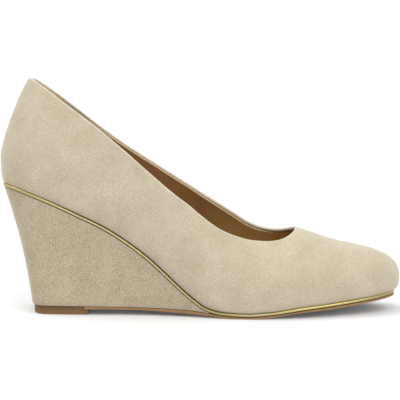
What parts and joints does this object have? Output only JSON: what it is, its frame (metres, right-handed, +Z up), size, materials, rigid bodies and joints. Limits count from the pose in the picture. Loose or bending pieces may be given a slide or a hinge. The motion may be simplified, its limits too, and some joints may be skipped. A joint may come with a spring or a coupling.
{
  "type": "wedge court shoe",
  "caption": "Women's closed-toe court shoe for the right foot, with a suede upper, a covered wedge heel, gold piping along the sole joint and a thin outsole.",
  "frame": {"origin": "on the floor under the middle of the shoe's bounding box", "axes": "+X to the toe, +Y to the inner side where the big toe is, +Z up"},
  "size_m": [0.2398, 0.0802, 0.1372],
  "materials": {
    "suede": "beige suede, matt nap",
    "wedge_suede": "beige suede cover, matt nap",
    "gold_piping": "metallic gold",
    "outsole": "tan, satin edge",
    "top_lift": "brown, satin",
    "sock": "brown, smooth"
  },
  "bodies": {
    "root": {"upper": "suede", "wedge": "wedge_suede", "piping": "gold_piping", "outsole": "outsole", "top_lift": "top_lift", "insole": "sock"}
  },
  "joints": []
}
